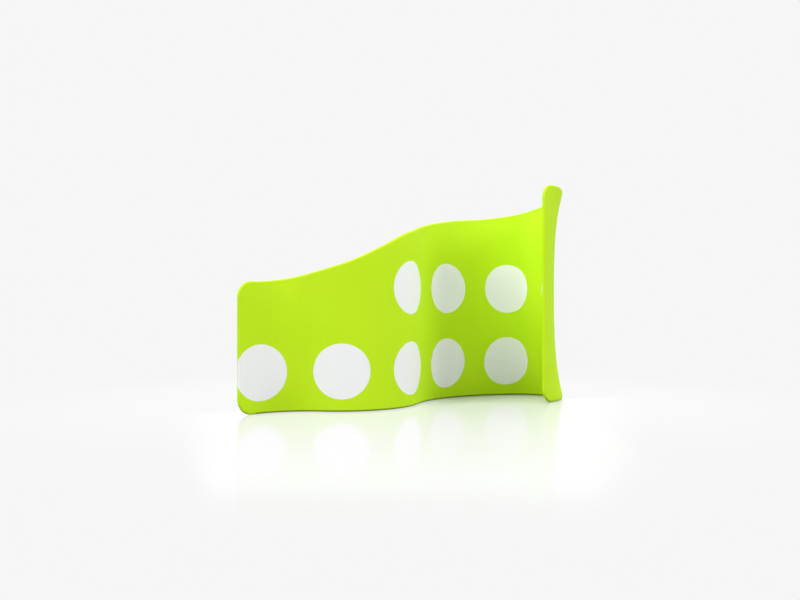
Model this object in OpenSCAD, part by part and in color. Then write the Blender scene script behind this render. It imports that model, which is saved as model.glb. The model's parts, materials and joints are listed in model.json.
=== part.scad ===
// Curved display backdrop: a serpentine aluminium tube frame inside a zipped, two-panel stretch fabric cover.
// Millimetres. The origin is on the floor under the middle of the footprint's bounding box.
// +X runs to the right, +Y away from the viewer and +Z up. Stations s run along the wall from its left end.

/* [Plan] */
// Heading of the wall at its left end, turned from +X
start_heading = 44.5; // [35:0.5:60]
// Centreline radius of the shallow hollow at the left
hollow_r = 700; // [550:10:900]
// Turn of the hollow, towards the viewer
hollow_turn = 55.5; // [45:0.5:65]
// Centreline radius of the bulge
bulge_r = 800; // [650:10:1000]
// Turn of the bulge, away from the viewer
bulge_turn = 86; // [70:1:95]
// Centreline radius of the niche
niche_r = 1300; // [1000:10:1600]
// Turn of the niche, towards the viewer
niche_turn = 72; // [60:1:85]
// Centreline radius of the hook at the right end
hook_r = 400; // [320:5:500]
// Turn of the hook, towards the viewer
hook_turn = 135.5; // [110:0.5:150]
// Straight length at the left end of the rails, past the corner bends
straight_end = 50; // [48:1:90]
// Straight length at the right end of the rails, past the corner bends
straight_right = 80; // [48:1:110]

/* [Top edge] */
// Height of the top edge at the left post
crest_left = 1273; // [1100:1:1500]
// Height at the middle of the hollow
crest_hollow = 1304; // [1120:1:1550]
// Height where the hollow meets the bulge
crest_first = 1391; // [1200:1:1650]
// Height a quarter of the way along the bulge
crest_rise = 1488; // [1300:1:1700]
// Height at the middle of the bulge
crest_bulge = 1627; // [1400:1:1900]
// Height three quarters of the way along the bulge
crest_shoulder = 1760; // [1550:1:1950]
// Height where the bulge meets the niche
crest_second = 1835; // [1600:1:2050]
// Height a quarter of the way along the niche
crest_entry = 1915; // [1700:1:2100]
// Height at the middle of the niche
crest_niche = 1979; // [1750:1:2150]
// Height three quarters of the way along the niche
crest_inner = 2015; // [1850:1:2200]
// Height where the niche meets the hook
crest_third = 2078; // [1900:1:2250]
// Height at the middle of the hook
crest_hook = 2211; // [2050:1:2400]
// Height of the top edge at the right post
crest_right = 2325; // [2200:1:2500]

/* [Tubes] */
// Outside diameter of the frame tubes
tube_d = 32; // [30:0.5:38]
// Wall of the frame tubes
tube_wall = 1.5; // [1.2:0.1:2]
// Centreline radius of the four corner bends
bend_r = 135; // [80:1:150]
// Width of the swaged shoulder of a corner bend
shoulder = 2; // [1:0.5:4]
// Length of a corner bend's plug
plug_len = 43; // [38:1:45]
// Wall of the plugs and spigots
spigot_wall = 1.5; // [1.2:0.1:2]
// Length of a spigot, half in each tube
spigot_len = 100; // [80:2:120]
// Radial clearance of plugs and spigots in their tubes
slip_gap = 0.3; // [0.2:0.05:0.4]
// Outside diameter of the uprights
upright_d = 25; // [22:0.5:27]
// Distance of each upright before its rail joint
upright_back = 100; // [80:5:160]
// Height of an upright saddle's head above the tube
saddle_h = 9; // [7:0.5:14]
// Length of the saddle's plug in the upright
saddle_plug = 45; // [30:1:60]
// Diameter of the saddle's locating pin
saddle_pin_d = 6; // [5:0.5:8]
// How far the pin reaches into the rail's bore
pin_in = 6; // [3:0.5:9]
// Length of the pin inside the saddle's head
pin_root = 4; // [2:0.5:6]
// How much longer a saddle's head is on the sloping rail
slope_room = 4; // [3:0.5:8]

/* [Snap buttons] */
// Diameter of the button
button_d = 7.6; // [6:0.1:8]
// How far the button stands out of the tube
button_out = 4; // [3:0.5:5]
// How far the button presses in
button_travel = 5; // [4:0.5:6]
// Clearance round the button and the pins, in the radius
hole_gap = 0.3; // [0.2:0.05:0.4]
// Distance of a button from its joint
button_back = 28; // [24:1:32]
// Distance of a corner bend's button from its shoulder
corner_button = 22; // [19:1:24]
// Width of the leaf spring
leaf_w = 7; // [5:0.5:8]
// Thickness of the leaf spring
leaf_t = 0.5; // [0.4:0.05:0.8]
// Diameter of the rivets
rivet_d = 4; // [3:0.2:5]

/* [Fabric cover] */
// Thickness of the cover's fabric
fabric_t = 1; // [0.8:0.1:1.5]
// Clearance between the tubes and the facets of the cover
cover_gap = 1.2; // [1.2:0.1:2]
// Clearance between the tubes and the hem
hem_gap = 0.3; // [0.2:0.05:0.5]
// Thickness of the folded hem
hem_t = 1.9; // [1.5:0.1:2.4]
// Depth of the flat that the hem rests on
hem_flat = 0.5; // [0.4:0.1:0.8]
// Gap between the front panel's foot and the hem
seam_gap = 0.3; // [0.2:0.05:0.6]
// How far the back panel laps over the zip's upper tape
seam_lap = 1.5; // [0.8:0.1:1.5]
// How far the fabric draws in at the middle of the hollow
draw_hollow = 30; // [0:1:45]
// How far it draws in at the middle of the niche
draw_niche = 40; // [0:1:60]
// How far it draws in where the niche meets the hook
draw_third = 100; // [40:1:120]
// How far it draws in at the middle of the hook
draw_hook = 110; // [40:1:130]
// How far it draws in three quarters of the way along the hook
draw_end = 108; // [40:1:120]

/* [Zip] */
// Height of the lower tape's edge above the bottom rail's widest line
zip_rise = 0.5; // [0.3:0.1:1]
// Width of the zip's chain
chain_w = 6; // [5:0.5:8]
// Thickness of the zip's chain
chain_t = 2.2; // [1.8:0.1:3]
// Width of each zip tape
tape_w = 13; // [10:0.5:15]
// Thickness of the zip tapes
tape_t = 0.6; // [0.5:0.05:0.8]
// Length of the zip's end stops
stop_len = 4; // [3:0.5:6]
// How far the end stops stand out past the chain
stop_out = 0.4; // [0.2:0.1:0.8]
// Gap between an end stop and the chain
stop_gap = 1; // [0.5:0.1:2]
// Distance from the end of the zip to the middle of the slider
slider_from = 20; // [16:1:30]
// Length of the slider
slider_len = 14; // [10:1:18]
// Wall of the slider
slider_wall = 1.3; // [1:0.1:1.6]
// Length of the pull tab
pull_len = 28; // [20:1:36]
// Width of the pull tab
pull_w = 7; // [5:0.5:9]
// Thickness of the pull tab
tongue_t = 1.4; // [1:0.1:2]
// Wall of the pull tab's eye
eye_wall = 0.95; // [0.8:0.05:1.4]
// Clearance of the eye on its bar, in the radius
eye_gap = 0.15; // [0.1:0.05:0.3]
// Diameter of the slider's bridge bar
bar_d = 2; // [1.6:0.1:2.4]
// Running clearance of the slider and of the pull's eye
run_gap = 0.3; // [0.2:0.05:0.4]

/* [Hidden] */

curve_fn = 200;
round_fn = 48;
rail_sides = 16;
ring_step = 4;
touch = 0.01;
cut_over = 4;
$grow = 0;
collar_out = 0.08;
collar_len = 4;
collar_gap = 0.05;

tube_r = tube_d / 2;
bore_r = tube_r - tube_wall;
spigot_r = bore_r - slip_gap;
spigot_bore = spigot_r - spigot_wall;
rail_z = tube_r + hem_gap + hem_t - hem_flat;
lead = bend_r + straight_end;
lead_right = bend_r + straight_right;

// Plan of the wall: four tangent arcs between two straight ends
arc_r = [hollow_r, bulge_r, niche_r, hook_r];
arc_turn = [-hollow_turn, bulge_turn, -niche_turn, -hook_turn];
arc_len = [for (i = [0:3]) arc_r[i] * abs(arc_turn[i]) * PI / 180];
arc_s = [for (i = [0:4]) lead + sum_to(arc_len, i)];
arc_heading = [for (i = [0:4]) start_heading + sum_to(arc_turn, i)];
total = arc_s[4] + lead_right;

function sum_to(v, n) = n <= 0 ? 0 : v[n - 1] + sum_to(v, n - 1);
function along(h) = [cos(h), sin(h)];
function leftward(h) = [-sin(h), cos(h)];
function side(i) = sign(arc_turn[i]);
function arc_begin(i) = i == 0 ? lead * along(start_heading)
    : arc_centre(i - 1) - side(i - 1) * arc_r[i - 1] * leftward(arc_heading[i]);
function arc_centre(i) = arc_begin(i) + side(i) * arc_r[i] * leftward(arc_heading[i]);
centres = [for (i = [0:3]) arc_centre(i)];
last_point = centres[3] - side(3) * arc_r[3] * leftward(arc_heading[4]);

function arc_at(s) = s < arc_s[1] ? 0 : s < arc_s[2] ? 1 : s < arc_s[3] ? 2 : 3;
function heading(s) = s <= arc_s[0] ? start_heading : s >= arc_s[4] ? arc_heading[4]
    : let (i = arc_at(s)) arc_heading[i] + side(i) * (s - arc_s[i]) / arc_r[i] * 180 / PI;
function plan_raw(s) = s <= arc_s[0] ? s * along(start_heading)
    : s >= arc_s[4] ? last_point + (s - arc_s[4]) * along(arc_heading[4])
    : let (i = arc_at(s)) centres[i] - side(i) * arc_r[i] * leftward(heading(s));

// Middle of the footprint, which the origin lies under
survey = [for (k = [0:600]) plan_raw(total * k / 600)];
middle = [for (a = [0:1]) (min([for (p = survey) p[a]]) + max([for (p = survey) p[a]])) / 2];
function plan(s) = plan_raw(s) - middle;

// Smooth curve through values at stations, level at both ends
function slope_at(st, v, k) = k == 0 || k == len(st) - 1 ? 0 : (v[k + 1] - v[k - 1]) / (st[k + 1] - st[k - 1]);
function span_at(st, s, k = 0) = k >= len(st) - 2 || s < st[k + 1] ? k : span_at(st, s, k + 1);
function smooth(st, v, s) = s <= st[0] ? v[0] : s >= st[len(st) - 1] ? v[len(st) - 1]
    : let (k = span_at(st, s), w = st[k + 1] - st[k], t = (s - st[k]) / w, u = 1 - t)
      v[k] * u * u * (1 + 2 * t) + v[k + 1] * t * t * (3 - 2 * t)
      + w * t * u * (slope_at(st, v, k) * u - slope_at(st, v, k + 1) * t);

function mid_s(i) = (arc_s[i] + arc_s[i + 1]) / 2;
function quarter_s(i, k) = arc_s[i] + arc_len[i] * k / 4;
crest_st = concat([arc_s[0], mid_s(0)], [for (i = [1:2], k = [0:3]) quarter_s(i, k)],
                  [arc_s[3], mid_s(3), arc_s[4]]);
crest_v = [crest_left, crest_hollow, crest_first, crest_rise, crest_bulge, crest_shoulder, crest_second,
           crest_entry, crest_niche, crest_inner, crest_third, crest_hook, crest_right];
upright_s = [arc_s[1] - upright_back, arc_s[2] - upright_back];
draw_st = [0, mid_s(0), upright_s[0], upright_s[1], mid_s(2), arc_s[3], mid_s(3), quarter_s(3, 3), total];
draw_v = [0, draw_hollow, 0, 0, draw_niche, draw_third, draw_hook, draw_end, 0];

cover_in = tube_r + cover_gap;
cover_out = cover_in + fabric_t;
function rail_top(s) = smooth(crest_st, crest_v, s) - cover_out;
function rise(s) = rail_top(s + 1) - rail_top(s - 1);
function rail_slope(s) = atan(rise(s) / 2);

// Rail joints: three where the arcs meet and one at the middle of the niche
joint_s = [arc_s[1], arc_s[2], mid_s(2), arc_s[3]];
rail_s = concat([bend_r + shoulder], joint_s, [total - bend_r - shoulder]);

// Stations of the cover's columns: the corner bends, the straight ends and the arcs
corner_steps = 6;
arc_steps = [7, 11, 12, 13];
corner_cols = [for (k = [0:corner_steps]) bend_r * (1 - cos(90 * k / corner_steps))];
hem_start = lead;
wrap_end = lead - 6;
hook_wrap = 3; // this many columns of the hook have the cover all the way round the bottom rail
hem_end = arc_s[4] - arc_len[3] * hook_wrap / arc_steps[3];
wrap_begin = hem_end + 6;
cols = concat(corner_cols, [wrap_end],
    [for (i = [0:3], k = [0:arc_steps[i] - 1]) each
        concat([arc_s[i] + arc_len[i] * k / arc_steps[i]],
               i == 3 && k == arc_steps[3] - hook_wrap ? [wrap_begin] : [])],
    [arc_s[4]], [for (k = [corner_steps:-1:0]) total - corner_cols[k]]);
// The cover stands out by the sag of a chord between two columns, so that no facet cuts a tube
chord_sag = max([for (i = [0:3]) (arc_r[i] + cover_out) * (1 - cos(arc_turn[i] / arc_steps[i] / 2))]);

// Places a piece at station s, with X along the wall and -Y towards the front
module at(s, z = 0)
    translate([plan(s)[0], plan(s)[1], z]) rotate([0, 0, heading(s)]) children();

// Sweeps a flat outline, X towards the front and Y up, along one arc
module sweep_arc(i, from, to) {
    a = heading(from);
    b = heading(to);
    translate([centres[i][0] - middle[0], centres[i][1] - middle[1], 0])
        rotate([0, 0, min(a, b) - side(i) * 90])
            rotate_extrude(angle = abs(b - a), $fn = curve_fn)
                translate([arc_r[i], 0]) mirror([side(i) < 0 ? 1 : 0, 0]) children();
}

// Sweeps the outline along a straight stretch
module sweep_straight(from, to)
    at(from) rotate([90, 0, 90]) linear_extrude(to - from) mirror([1, 0]) children();

// Sweeps the outline along the wall between two stations. A thin collar, which the outline draws a little
// larger by $grow, joins the stretches where the curve changes.
module sweep(from, to) {
    $grow = 0;
    if (from < arc_s[0]) sweep_straight(from, min(to, arc_s[0]) - collar_gap) children();
    for (i = [0:3])
        if (from < arc_s[i + 1] && to > arc_s[i])
            sweep_arc(i, max(from, arc_s[i] + collar_gap), min(to, arc_s[i + 1] - collar_gap)) children();
    if (to > arc_s[4]) sweep_straight(max(from, arc_s[4] + collar_gap), to) children();
    for (s = arc_s)
        if (s > from + collar_len && s < to - collar_len)
            sweep_straight(s - collar_len / 2, s + collar_len / 2) {
                $grow = collar_out;
                children();
            }
}

module ring(outer, inner)
    difference() {
        circle(outer + $grow, $fn = round_fn);
        circle(inner - $grow, $fn = round_fn);
    }

// Sides of the snap buttons and rivets: Z points into the cover, X along the tube
module on_bottom(s) at(s, rail_z) children();
module on_top(s) at(s, rail_top(s)) rotate([0, -rail_slope(s), 0]) rotate([180, 0, 0]) children();
module on_post(right, z) at(right ? total : 0, z) rotate([0, right ? -90 : 90, 0]) children();

module button_hole() cylinder(h = tube_r + cut_over, r = button_d / 2 + hole_gap, $fn = round_fn);
module rivet_hole() cylinder(h = tube_r + cut_over, r = rivet_d / 2 + hole_gap / 2, $fn = round_fn);
module pin_hole() cylinder(h = tube_r + cut_over, d = saddle_pin_d + 2 * hole_gap, $fn = round_fn);

// A blind rivet: its head on the tube and its set end inside the spigot
module rivet(outer, bore) {
    head_t = 0.9;
    set_len = 2.5;
    set_lip = 0.8;
    translate([0, 0, bore - set_len]) cylinder(h = outer - bore + set_len, r = rivet_d / 2, $fn = round_fn);
    translate([0, 0, outer]) cylinder(h = head_t, r = rivet_d, $fn = round_fn);
    translate([0, 0, bore - set_len])
        cylinder(h = set_len - set_lip, r = rivet_d / 2 + set_lip, $fn = round_fn);
}

// A domed push button with a flange that keeps it inside the bore
flange_r = button_d / 2 + 1.4;
flange_t = 0.8;
function flange_z(bore) = sqrt(bore * bore - flange_r * flange_r) - run_gap - flange_t;
module snap_button(outer, bore) {
    dome = button_d / 2;
    tip = outer + button_out;
    low = flange_z(bore);
    color("silver") {
        translate([0, 0, low]) cylinder(h = flange_t, r = flange_r, $fn = round_fn);
        translate([0, 0, low]) cylinder(h = tip - dome / 2 - low, r = dome, $fn = round_fn);
        intersection() {
            translate([0, 0, tip - dome / 2 - touch]) cylinder(h = dome, r = dome, $fn = round_fn);
            translate([0, 0, tip - 1.25 * dome]) sphere(1.25 * dome, $fn = round_fn);
        }
    }
}

// The bent leaf that pushes a button out from the far wall of the bore
module leaf_spring(bore) {
    top = flange_z(bore) - run_gap;
    low = -sqrt(bore * bore - leaf_w * leaf_w / 4) + run_gap;
    reach = 24;
    tip = 5;
    fold = 2 * leaf_t / (top - low);
    rotate([90, 0, 0]) translate([0, 0, -leaf_w / 2]) linear_extrude(leaf_w)
        polygon([[tip, top], [tip, top - leaf_t], [fold * (tip + reach) - reach, fold * top - leaf_t],
                 [tip, low + leaf_t], [tip, low], [-reach, 0]]);
}

module button_springs() {
    color("silver") for (k = [1:button_count]) at_button(k) leaf_spring(button_bore(k));
}

// Where each snap button works: four on the bottom rail, four on the top rail, eight at the corners,
// one on the right post and one on the second upright
module at_button(k) {
    post_low = rail_z + bend_r + shoulder + corner_button;
    edge_s = bend_r + shoulder + corner_button;
    if (k <= 4) on_bottom(joint_s[k - 1] + button_back) children();
    else if (k <= 8) on_top(joint_s[k - 5] + button_back) children();
    else if (k == 9) on_bottom(edge_s) children();
    else if (k == 10) on_post(false, post_low) rotate([0, 0, 180]) children();
    else if (k == 11) on_top(edge_s) children();
    else if (k == 12) on_post(false, rail_top(0) + rail_z - post_low) children();
    else if (k == 13) on_bottom(total - edge_s) rotate([0, 0, 180]) children();
    else if (k == 14) on_post(true, post_low) children();
    else if (k == 15) on_top(total - edge_s) rotate([0, 0, 180]) children();
    else if (k == 16) on_post(true, rail_top(total) + rail_z - post_low) rotate([0, 0, 180]) children();
    else if (k == 17) on_post(true, right_joint_z + button_back) children();
    else at(upright_s[1], upright_joint_z + button_back) rotate([0, 90, 180]) children();
}
button_count = 18;
function button_tube(k) = k == button_count ? upright_d / 2 : tube_r;
function button_bore(k) = k == button_count ? upright_spigot_bore : spigot_bore;

// Bottom rail: one bent tube between two joints, with its holes
module bottom_rail(k) {
    color("gainsboro") difference() {
        sweep(rail_s[k - 1], rail_s[k]) translate([0, rail_z]) ring(tube_r, bore_r);
        if (k > 1) on_bottom(joint_s[k - 2] + button_back) button_hole();
        if (k < 5) on_bottom(joint_s[k - 1] - button_back) rivet_hole();
        if (k == 1) at_button(9) button_hole();
        if (k == 5) at_button(13) button_hole();
        if (k <= 2) at(upright_s[k - 1], rail_z) pin_hole();
    }
}

// A wall swept through rings of points: each ring has its outer points and then its inner ones, once round
// for a tube or from one edge to the other for a strip
module swept_wall(rings, tube) {
    n = len(rings[0]) / 2;
    last = len(rings) - 1;
    around = tube ? n - 1 : n - 2;
    function id(k, j, in) = (k * 2 + in) * n + j % n;
    function quad(a, b, c, d) = [[a, b, c], [a, c, d]];
    faces = concat(
        [for (k = [0:last - 1], j = [0:around]) each concat(
            quad(id(k, j, 0), id(k + 1, j, 0), id(k + 1, j + 1, 0), id(k, j + 1, 0)),
            quad(id(k, j, 1), id(k, j + 1, 1), id(k + 1, j + 1, 1), id(k + 1, j, 1)))],
        [for (j = [0:around]) each concat(
            quad(id(0, j, 0), id(0, j + 1, 0), id(0, j + 1, 1), id(0, j, 1)),
            quad(id(last, j, 0), id(last, j, 1), id(last, j + 1, 1), id(last, j + 1, 0)))],
        tube ? [] : [for (k = [0:last - 1]) each concat(
            quad(id(k + 1, 0, 0), id(k, 0, 0), id(k, 0, 1), id(k + 1, 0, 1)),
            quad(id(k, n - 1, 0), id(k + 1, n - 1, 0), id(k + 1, n - 1, 1), id(k, n - 1, 1)))]);
    polyhedron([for (r = rings) each r], faces);
}

// Rings of a tube along the top edge or the bottom one, at the cover's columns and round the joints
function tube_ring(s, r, high) =
    let (h = heading(s), a = high ? rail_slope(s) : 0, p = plan(s), z = high ? rail_top(s) : rail_z)
    [for (n = [0:rail_sides - 1])
        let (u = r * cos(n * 360 / rail_sides), v = r * sin(n * 360 / rail_sides))
        [p[0] - u * sin(h) - v * sin(a) * cos(h), p[1] + u * cos(h) - v * sin(a) * sin(h), z + v * cos(a)]];
function tube_stations(from, to) =
    let (near = [for (j = joint_s, d = [-2:2]) j + d * spigot_len / 4],
         inside = [for (s = concat(cols, near)) if (s > from + ring_step && s < to - ring_step) s])
    concat([from], sorted(inside), [to]);
function sorted(v) = len(v) < 2 ? v
    : let (p = v[floor(len(v) / 2)])
      concat(sorted([for (x = v) if (x < p - ring_step) x]), [p],
             sorted([for (x = v) if (x > p + ring_step) x]));

module swept_tube(from, to, outer, inner, high)
    swept_wall([for (s = tube_stations(from, to))
        concat(tube_ring(s, outer, high), tube_ring(s, inner / cos(180 / rail_sides), high))], true);

module top_rail(k) {
    color("gainsboro") difference() {
        swept_tube(rail_s[k - 1], rail_s[k], tube_r, bore_r, true);
        if (k > 1) on_top(joint_s[k - 2] + button_back) button_hole();
        if (k < 5) on_top(joint_s[k - 1] - button_back) rivet_hole();
        if (k == 1) at_button(11) button_hole();
        if (k == 5) at_button(15) button_hole();
        if (k <= 2) at(upright_s[k - 1], rail_top(upright_s[k - 1])) mirror([0, 0, 1]) pin_hole();
    }
}

// Spigots join the tubes: each has a rivet hole in one half and a button hole in the other
module bottom_spigots() {
    color("silver") for (j = joint_s)
        difference() {
            swept_tube(j - spigot_len / 2, j + spigot_len / 2, spigot_r, spigot_bore, false);
            on_bottom(j + button_back) button_hole();
            on_bottom(j - button_back) rivet_hole();
        }
}

module top_spigots() {
    color("silver") for (j = joint_s)
        difference() {
            swept_tube(j - spigot_len / 2, j + spigot_len / 2, spigot_r, spigot_bore, true);
            on_top(j + button_back) button_hole();
            on_top(j - button_back) rivet_hole();
        }
}

// Straight spigot, its middle at the origin and its holes facing +X
module straight_spigot(outer, inner)
    difference() {
        translate([0, 0, -spigot_len / 2]) linear_extrude(spigot_len) ring(outer, inner);
        translate([0, 0, button_back]) rotate([0, 90, 0]) button_hole();
        translate([0, 0, -button_back]) rotate([0, 90, 0]) rivet_hole();
    }

// Corner bend: a quarter turn with a swaged plug at each end. X runs along the rail and Z up the post.
module bend_plug()
    difference() {
        union() {
            cylinder(h = shoulder, r = tube_r, $fn = round_fn);
            cylinder(h = shoulder + plug_len, r = spigot_r, $fn = round_fn);
        }
        translate([0, 0, -1]) cylinder(h = shoulder + plug_len + 2, r = spigot_bore, $fn = round_fn);
        translate([0, 0, shoulder + corner_button]) rotate([0, 90, 0]) button_hole();
    }

module corner_bend() {
    color("gainsboro") {
        translate([bend_r, 0, bend_r]) rotate([90, 180, 0])
            rotate_extrude(angle = 90, $fn = curve_fn) translate([bend_r, 0]) ring(tube_r, spigot_bore);
        translate([0, 0, bend_r]) bend_plug();
        translate([bend_r, 0, 0]) rotate([180, -90, 0]) bend_plug();
    }
}

module corner(right, top)
    at(right ? total : 0, top ? rail_top(right ? total : 0) : rail_z)
        rotate([0, 0, right ? 180 : 0]) mirror([0, 0, top ? 1 : 0]) corner_bend();

// End posts: straight tubes between the corner bends
right_joint_z = rail_z + (rail_top(total) - rail_z) / 2;
module post(right, from, to, holes) {
    color("gainsboro") difference() {
        at(right ? total : 0, from) linear_extrude(to - from) ring(tube_r, bore_r);
        for (k = holes) at_button(k) button_hole();
        if (right && from < right_joint_z - 1) on_post(true, right_joint_z - button_back) rivet_hole();
    }
}

post_foot = rail_z + bend_r + shoulder;
function post_head(s) = rail_top(s) - bend_r - shoulder;

// Uprights: thinner tubes that stand on the saddles between the two rails
upright_bore = upright_d / 2 - tube_wall;
upright_foot = rail_z + tube_r + saddle_h;
function upright_head(k) = rail_top(upright_s[k]) - tube_r - saddle_h - slope_room;
upright_joint_z = (upright_foot + upright_head(1)) / 2;
upright_spigot_r = upright_bore - slip_gap;
upright_spigot_bore = upright_spigot_r - spigot_wall;

module upright(k, from, to) {
    color("gainsboro") difference() {
        at(upright_s[k], from) linear_extrude(to - from) ring(upright_d / 2, upright_bore);
        if (k == 1 && from > upright_joint_z - 1)
            at(upright_s[k], upright_joint_z + button_back) rotate([0, 90, 180]) button_hole();
        if (k == 1 && to < upright_joint_z + 1)
            at(upright_s[k], upright_joint_z - button_back) rotate([0, 90, 180]) rivet_hole();
    }
}

module post_spigots() {
    color("silver") {
        at(total, right_joint_z) rotate([0, 0, 180]) straight_spigot(spigot_r, spigot_bore);
        at(upright_s[1], upright_joint_z) rotate([0, 0, 180])
            straight_spigot(upright_spigot_r, upright_spigot_bore);
    }
}

// Saddle: a coped head that sits on the rail, with a plug for the upright and a pin in the rail
module saddle(tilt, head_top)
    difference() {
        union() {
            translate([0, 0, tube_r / 2])
                cylinder(h = head_top - tube_r / 2, r = upright_d / 2, $fn = round_fn);
            cylinder(h = head_top + saddle_plug, r = upright_bore - slip_gap, $fn = round_fn);
        }
        rotate([0, 90 - tilt, 0])
            cylinder(h = 4 * tube_r, r = tube_r + run_gap, center = true, $fn = 2 * round_fn);
    }
module saddle_pin()
    translate([0, 0, bore_r - pin_in])
        cylinder(h = tube_wall + pin_in + pin_root, d = saddle_pin_d, $fn = round_fn);

module bottom_saddles() {
    color("dimgray") for (s = upright_s) at(s, rail_z) {
        saddle(0, tube_r + saddle_h);
        saddle_pin();
    }
}

module top_saddles() {
    color("dimgray") for (s = upright_s) at(s, rail_top(s)) mirror([0, 0, 1]) {
        saddle(-rail_slope(s), tube_r + saddle_h + slope_room);
        saddle_pin();
    }
}

module spigot_rivets() {
    color("silver") {
        for (j = joint_s) {
            on_bottom(j - button_back) rivet(tube_r, spigot_bore);
            on_top(j - button_back) rivet(tube_r, spigot_bore);
        }
        on_post(true, right_joint_z - button_back) rivet(tube_r, spigot_bore);
        at(upright_s[1], upright_joint_z - button_back) rotate([0, 90, 180])
            rivet(upright_d / 2, upright_spigot_bore);
    }
}

// Fabric: the skin's middle line draws in towards the hollow side between the rails, most at half height
draw_power = 2.5;
function skin(s, z, out) =
    let (h = heading(s), low = tape_top, t = max(0, min(1, (z - low) / (rail_top(s) - tube_r / 2 - low))),
         q = smooth(draw_st, draw_v, s) * (1 - pow(abs(2 * t - 1), draw_power)) + out,
         p = plan(s) - q * leftward(h))
    [p[0], p[1], z];

// Rows of the cover between the rails
row_count = 5;
// Between the corners a panel ends at its foot, and elsewhere it wraps the tube to the seam line.
// The ring at 45 degrees stands out by its own share, and a corner's rings by the sag of the corner's chords,
// so that no facet cuts the tube.
foot_turn = 5;
shoulder_out = 1.2;
corner_sag = (bend_r + cover_out) * (1 - cos(45 / corner_steps));
function in_corner(s) = let (e = min(s, total - s)) e > touch && e < bend_r - touch;
function over_hem(s) = s > wrap_end + 1 && s < wrap_begin - 1;
function panel_foot(s, foot) = over_hem(s) ? foot - rail_z + cover_out * sin(foot_turn) : 0;
function wrap_share(s) = over_hem(s) ? foot_turn / 90 : 1;
function corner_drop(s) = let (e = min(s, total - s)) e >= bend_r ? 0
    : bend_r - sqrt(max(0, bend_r * bend_r - (bend_r - e) * (bend_r - e)));
function loop_low(s, foot) = rail_z + corner_drop(s) + panel_foot(s, foot);
function loop_high(s) = rail_top(s) - corner_drop(s);
// Direction out of the frame at the loop's edge, in the unrolled wall (s, z)
function edge_out(s, up) =
    let (e = min(s, total - s), c = e >= bend_r ? 0 : (bend_r - e) / bend_r, a = up ? rail_slope(s) : 0)
    c > 0 ? [(s < total / 2 ? -1 : 1) * c, (up ? 1 : -1) * sqrt(1 - c * c)] : [-sin(a), up ? cos(a) : -1];

// One panel: its grid between the rails, then two rings round the tubes to the seam line
module panel(face, foot) {
    n = len(cols) - 1;
    m = row_count;
    function level(i, j) = let (lo = loop_low(cols[i], foot), hi = loop_high(cols[i])) lo + (hi - lo) * j / m;
    loop = concat([for (i = [0:n]) [i, 0]], [for (j = [1:m]) [n, j]],
                  [for (i = [n - 1:-1:0]) [i, m]], [for (j = [m - 1:-1:1]) [0, j]]);
    function out_dir(c) = let (i = c[0], j = c[1])
        j == 0 ? edge_out(cols[i], false) : j == m ? edge_out(cols[i], true) : [i == 0 ? -1 : 1, 0];
    function share(c) = c[1] == 0 ? wrap_share(cols[c[0]]) : 1;
    function edge_point(c, r, angle) =
        let (a = angle * share(c), d = out_dir(c), stretch = angle == 45 && share(c) == 1 ? shoulder_out : 1,
             reach = r * stretch * sin(a) + (in_corner(cols[c[0]]) ? corner_sag : 0),
             s = cols[c[0]] + reach * d[0], z = level(c[0], c[1]) + reach * d[1])
        skin(s, max(r == cover_out ? 0 : hem_flat, z), face * ((r + chord_sag) * stretch * cos(a) + touch));
    function layer(r) = concat(
        [for (i = [0:n], j = [0:m]) skin(cols[i], level(i, j), face * (r + chord_sag))],
        [for (angle = [45, 90], c = loop) edge_point(c, r, angle)]);
    grid = (n + 1) * (m + 1);
    ring_n = len(loop);
    half = grid + 2 * ring_n;
    function cell(i, j) = i * (m + 1) + j;
    function on_ring(r, k) = let (c = loop[k % ring_n])
        r == 0 ? cell(c[0], c[1]) : grid + (r - 1) * ring_n + k % ring_n;
    function quad(a, b, c, d) = [[a, b, c], [a, c, d]];
    function turned(f, shift) = [for (t = f) [t[2] + shift, t[1] + shift, t[0] + shift]];
    skin_faces = concat(
        [for (i = [0:n - 1], j = [0:m - 1]) each
            quad(cell(i, j), cell(i, j + 1), cell(i + 1, j + 1), cell(i + 1, j))],
        [for (r = [0:1], k = [0:ring_n - 1]) each
            quad(on_ring(r, k), on_ring(r, k + 1), on_ring(r + 1, k + 1), on_ring(r + 1, k))]);
    rim_faces = [for (k = [0:ring_n - 1]) each
        quad(on_ring(2, k), on_ring(2, k + 1), on_ring(2, k + 1) + half, on_ring(2, k) + half)];
    faces = concat(skin_faces, turned(skin_faces, half), rim_faces);
    points = concat(layer(cover_out), layer(cover_in));
    color("yellowgreen") polyhedron(points, face > 0 ? faces : turned(faces, 0));
}

// Hem under the bottom rail, cut flat where it rests on the floor. Its columns are the panels' own.
hem_in = tube_r + hem_gap;
hem_out = hem_in + hem_t;
flat_turn = acos(rail_z / hem_out);
hem_turn = (90 - flat_turn) / 3;
hem_turns = concat([for (k = [0:3]) 180 + k * hem_turn], [270],
                   [for (k = [0:3]) 270 + flat_turn + k * hem_turn]);
function hem_ring(s, r) =
    let (h = heading(s), p = plan(s))
    [for (a = hem_turns)
        let (u = r * cos(a) + (cos(a) < 0 ? -1 : 1) * chord_sag, z = max(0, rail_z + r * sin(a)))
        [p[0] - u * sin(h), p[1] + u * cos(h), z]];
module bottom_hem()
    color("olivedrab") swept_wall(
        [for (s = cols) if (s > hem_start - touch && s < hem_end + touch)
            concat(hem_ring(s, hem_out), hem_ring(s, hem_in / cos(hem_turn / 2)))],
        false);

// Zip along the back, just above the bottom rail's widest line
zip_in = tube_r + hem_gap;
zip_low = rail_z + zip_rise;
chain_low = zip_low + tape_w;
tape_top = chain_low + chain_w + tape_w;
module zip_band(from, to, low, high, deep)
    sweep(from, to) translate([-zip_in - deep - $grow, low - $grow])
        square([deep + 2 * $grow, high - low + 2 * $grow]);

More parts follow.
